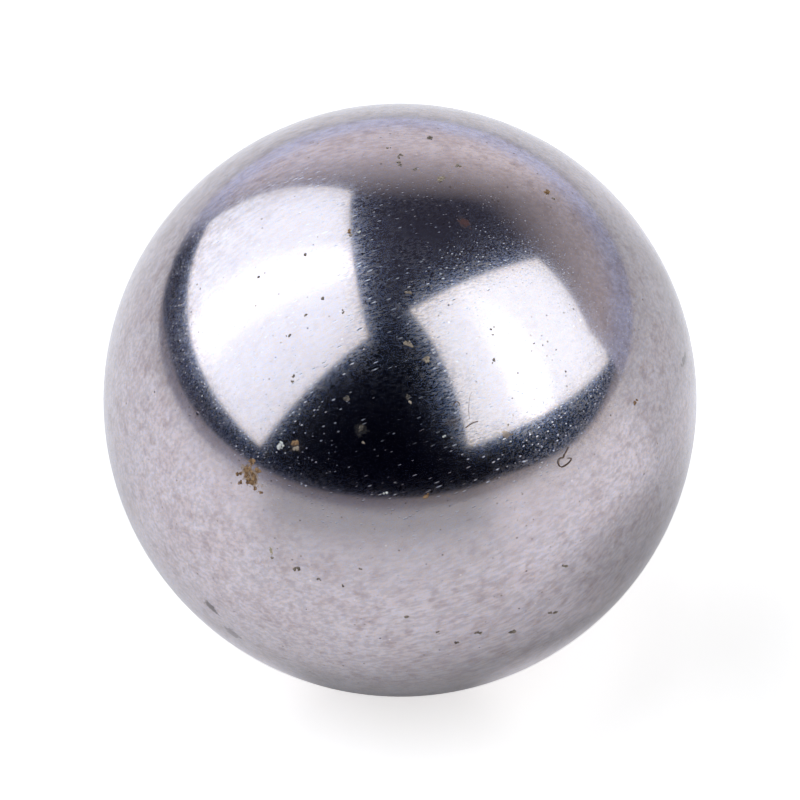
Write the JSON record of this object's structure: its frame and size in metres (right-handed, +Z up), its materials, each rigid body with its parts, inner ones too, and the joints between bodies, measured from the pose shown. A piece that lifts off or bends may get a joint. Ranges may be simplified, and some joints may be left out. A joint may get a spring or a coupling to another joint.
{
  "type": "steel ball",
  "caption": "Solid polished steel ball of the kind used in bearings and desk toys: a plain sphere with a worn mirror finish, fine pits and small rust spots.",
  "frame": {"origin": "centre of the ball", "axes": "+Z is up, away from the point that the ball touches its seat with; a ball has no axis of its own, so +Z is any diameter, and the side with the marks that the picture shows faces -Y and up"},
  "size_m": [0.02, 0.02, 0.02],
  "materials": {
    "ball_steel": "polished",
    "rust": "matte",
    "dust": "matte",
    "lint": "matte"
  },
  "bodies": {
    "root": {"ball": "ball_steel"}
  },
  "joints": []
}
